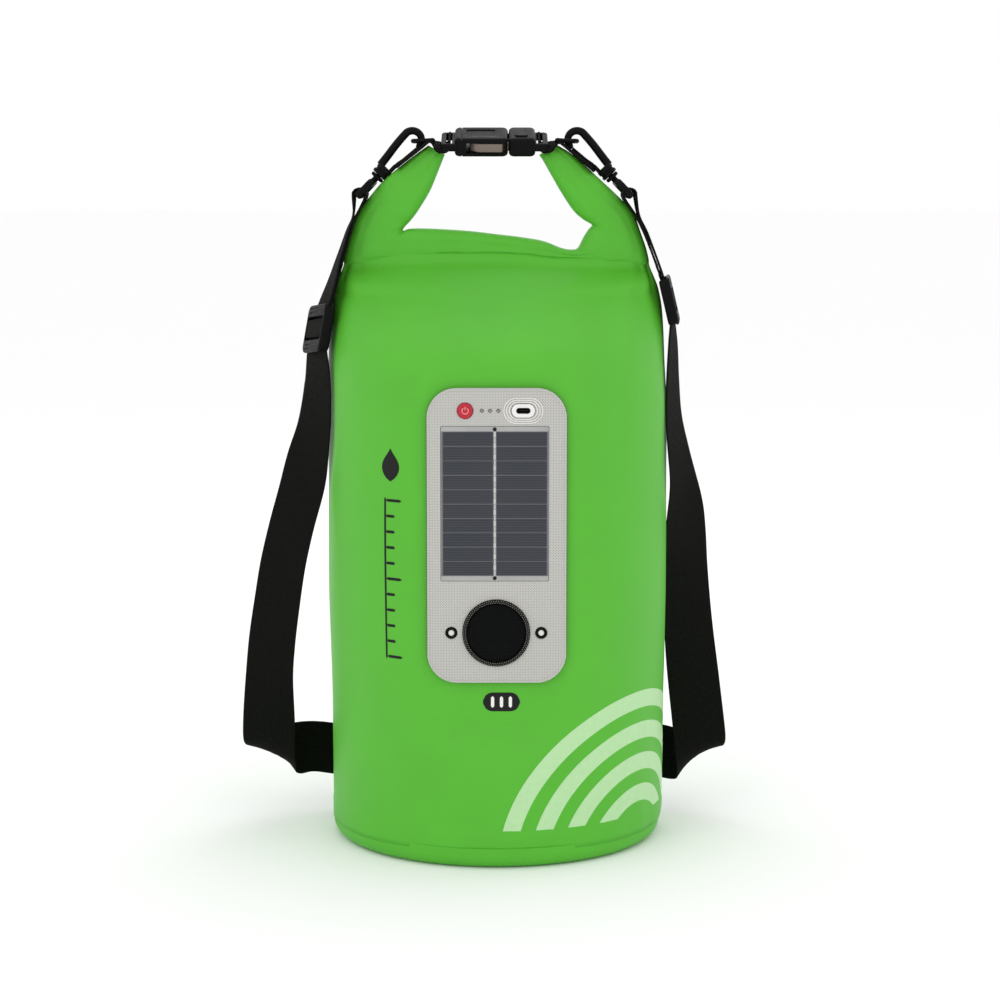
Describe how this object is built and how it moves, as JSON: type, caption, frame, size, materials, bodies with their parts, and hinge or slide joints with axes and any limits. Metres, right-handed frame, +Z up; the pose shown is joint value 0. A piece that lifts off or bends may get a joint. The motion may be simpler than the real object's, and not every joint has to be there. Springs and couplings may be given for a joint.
{
  "type": "solar backpack",
  "caption": "Cylindrical roll-top dry bag worn as a backpack, with two clip-on shoulder straps, a buckled handle and a solar battery module with speaker in its front.",
  "frame": {"origin": "centre of the flat base", "axes": "+Z up through the bag to its buckled handle, front with the solar module towards -Y, +X to the viewer's right"},
  "size_m": [0.3487, 0.2373, 0.5018],
  "materials": {
    "green_tarpaulin": "matt coated tarpaulin with a faint weave and a soft sheen",
    "black_webbing": "woven polyester webbing",
    "black_plastic": "moulded acetal, semi-gloss",
    "grey_plate": "light grey with a fine woven-look print under a satin film",
    "rubber_seal": "matt",
    "solar_cell": "laminated cells, glossy",
    "red_button": "satin",
    "white_plastic": "satin",
    "clear_lens": "frosted",
    "speaker_cloth": "open black cloth",
    "steel": "plated",
    "circuit_board": "solder mask",
    "battery_wrap": "shrink wrap",
    "lead_insulation": "matt"
  },
  "bodies": {
    "root": {"bag_body": "green_tarpaulin", "base_panel": "green_tarpaulin", "base_weld_band": "green_tarpaulin", "back_seam_tape": "green_tarpaulin", "roll_middle": "green_tarpaulin", "shoulder_strap_left": "black_webbing", "shoulder_strap_right": "black_webbing", "strap_upper_left": "black_webbing", "strap_upper_right": "black_webbing", "strap_anchor_patch_left": "black_webbing", "strap_anchor_patch_right": "black_webbing", "speaker_ring": "black_plastic", "speaker_driver": "black_plastic", "lamp_bezel_left": "black_plastic", "lamp_bezel_right": "black_plastic", "button_switch": "black_plastic", "module_faceplate": "grey_plate", "module_clamp_frame": "grey_plate", "module_tray": "grey_plate", "module_gasket": "rubber_seal", "solar_panel": "solar_cell", "socket_bezel": "white_plastic", "indicator_1": "clear_lens", "indicator_2": "clear_lens", "indicator_3": "clear_lens", "lamp_lens_left": "clear_lens", "lamp_lens_right": "clear_lens", "speaker_grille": "speaker_cloth", "usb_socket": "steel", "clamp_screw_1": "steel", "clamp_screw_2": "steel", "clamp_screw_3": "steel", "clamp_screw_4": "steel", "circuit_board": "circuit_board", "battery_pack": "battery_wrap", "battery_lead_positive": "lead_insulation", "battery_lead_negative": "lead_insulation", "speaker_lead_positive": "lead_insulation", "speaker_lead_negative": "lead_insulation"},
    "left_arm": {"roll_arm_left": "green_tarpaulin", "rim_webbing_left": "black_webbing", "buckle_socket": "black_plastic", "swivel_eye_left": "black_plastic"},
    "right_arm": {"roll_arm_right": "green_tarpaulin", "rim_webbing_right": "black_webbing", "buckle_plug": "black_plastic", "swivel_eye_right": "black_plastic"},
    "prong_front": {"buckle_prong_front": "black_plastic"},
    "prong_back": {"buckle_prong_back": "black_plastic"},
    "d_ring_left": {"d_ring_left": "black_plastic"},
    "d_ring_right": {"d_ring_right": "black_plastic"},
    "hook_left": {"hook_left": "black_plastic"},
    "hook_right": {"hook_right": "black_plastic"},
    "gate_left": {"hook_gate_left": "black_plastic"},
    "gate_right": {"hook_gate_right": "black_plastic"},
    "slider_left": {"strap_slider_left": "black_plastic"},
    "slider_right": {"strap_slider_right": "black_plastic"},
    "power_button": {"power_button": "red_button"}
  },
  "joints": [
    {"name": "handle_left_swing", "type": "hinge", "parent": "root", "child": "left_arm", "pos_m": [-0.11, 0, 0.404], "axis": [0, -1, 0], "range_deg": [0, 40], "deforming": ["strap_upper_left", "buckle_prong_front", "buckle_prong_back"]},
    {"name": "handle_right_swing", "type": "hinge", "parent": "root", "child": "right_arm", "pos_m": [0.11, 0, 0.404], "axis": [0, 1, 0], "range_deg": [0, 40], "deforming": ["strap_upper_right"]},
    {"name": "prong_front_squeeze", "type": "hinge", "parent": "right_arm", "child": "prong_front", "pos_m": [0.0076, -0.01063, 0.48995], "axis": [0, 0.2588, -0.9659], "range_deg": [0, 6], "stiffness_Nm_per_rad": 0.2},
    {"name": "prong_back_squeeze", "type": "hinge", "parent": "right_arm", "child": "prong_back", "pos_m": [0.0076, 0.01063, 0.49565], "axis": [0, -0.2588, 0.9659], "range_deg": [0, 6], "stiffness_Nm_per_rad": 0.2},
    {"name": "d_ring_left_tilt", "type": "hinge", "parent": "left_arm", "child": "d_ring_left", "pos_m": [-0.0445, 0, 0.4935], "axis": [0, 1, 0], "range_deg": [-4, 4]},
    {"name": "hook_left_swivel", "type": "hinge", "parent": "left_arm", "child": "hook_left", "pos_m": [-0.0792, 0, 0.4705], "axis": [0.6947, 0, 0.7193], "range_deg": [-20, 20]},
    {"name": "gate_left_open", "type": "hinge", "parent": "hook_left", "child": "gate_left", "pos_m": [-0.07076, 0, 0.47319], "axis": [0, -1, 0], "range_deg": [0, 20], "stiffness_Nm_per_rad": 0.04},
    {"name": "d_ring_right_tilt", "type": "hinge", "parent": "right_arm", "child": "d_ring_right", "pos_m": [0.0445, 0, 0.4935], "axis": [0, 1, 0], "range_deg": [-4, 4]},
    {"name": "hook_right_swivel", "type": "hinge", "parent": "right_arm", "child": "hook_right", "pos_m": [0.0792, 0, 0.4705], "axis": [-0.6947, 0, 0.7193], "range_deg": [-20, 20]},
    {"name": "gate_right_open", "type": "hinge", "parent": "hook_right", "child": "gate_right", "pos_m": [0.07076, 0, 0.47319], "axis": [0, 1, 0], "range_deg": [0, 20], "stiffness_Nm_per_rad": 0.04},
    {"name": "slider_left_slide", "type": "slide", "parent": "root", "child": "slider_left", "axis": [0.1734, 0.1551, 0.9726], "range_m": [-0.004, 0.015]},
    {"name": "slider_right_slide", "type": "slide", "parent": "root", "child": "slider_right", "axis": [-0.2284, 0, 0.9736], "range_m": [-0.01, 0.002]},
    {"name": "power_button_press", "type": "slide", "parent": "root", "child": "power_button", "axis": [0, 1, 0], "range_m": [0, 0.0008], "stiffness_N_per_m": 500}
  ],
  "couplings": [
    {"joint": "handle_right_swing", "follows": "handle_left_swing", "ratio": 1},
    {"joint": "prong_back_squeeze", "follows": "prong_front_squeeze", "ratio": 1}
  ]
}
